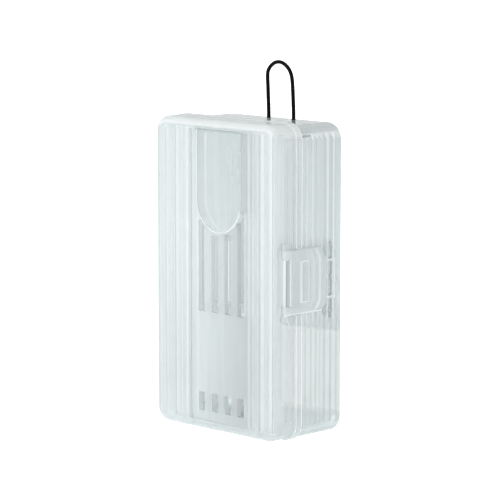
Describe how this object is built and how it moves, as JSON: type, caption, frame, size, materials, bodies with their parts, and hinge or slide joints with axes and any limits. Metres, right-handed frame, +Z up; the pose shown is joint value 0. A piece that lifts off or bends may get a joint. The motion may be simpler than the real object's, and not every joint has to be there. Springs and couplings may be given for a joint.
{
  "type": "queen cage",
  "caption": "Small clear plastic queen bee cage: hinged ribbed front cover with side latch, U-shaped entry flap, ventilation slots, candy compartment, exit plug and wire hanger.",
  "frame": {"origin": "bottom centre of the whole cage's bounding box: hinge side to latch pad, front face to back face, underside of the rim and the base", "axes": "+Z up towards the hanger, -Y out through the front cover, +X towards the latch side"},
  "size_m": [0.0488, 0.0252, 0.0945],
  "materials": {
    "clear_pp": "translucent frosted polypropylene, faintly cool tint",
    "milky_pp": "milky translucent polypropylene",
    "black_wire": "black coated steel wire, satin"
  },
  "bodies": {
    "base": {"base_shell": "clear_pp", "hinge_pins": "clear_pp", "hanger_wire": "black_wire", "candy_cup": "milky_pp", "candy_lid": "milky_pp"},
    "cover": {"front_cover": "clear_pp", "latch_rod": "clear_pp"},
    "latch": {"latch_clasp": "clear_pp"},
    "flap": {"entry_flap": "clear_pp"},
    "plug": {"exit_plug": "milky_pp"}
  },
  "joints": [
    {"name": "cover_hinge", "type": "hinge", "parent": "base", "child": "cover", "pos_m": [-0.02287, -0.00362, 0.04035], "axis": [0, 0, -1], "range_deg": [0, 175]},
    {"name": "latch_hinge", "type": "hinge", "parent": "cover", "child": "latch", "pos_m": [0.02353, -0.0097, 0.04085], "axis": [0, 0, -1], "range_deg": [0, 100]},
    {"name": "flap_hinge", "type": "hinge", "parent": "cover", "child": "flap", "pos_m": [0.00285, -0.01155, 0.0771], "axis": [-1, 0, 0], "range_deg": [0, 90]},
    {"name": "plug_slide", "type": "slide", "parent": "base", "child": "plug", "axis": [0, 0, -1], "range_m": [0, 0.009]}
  ]
}
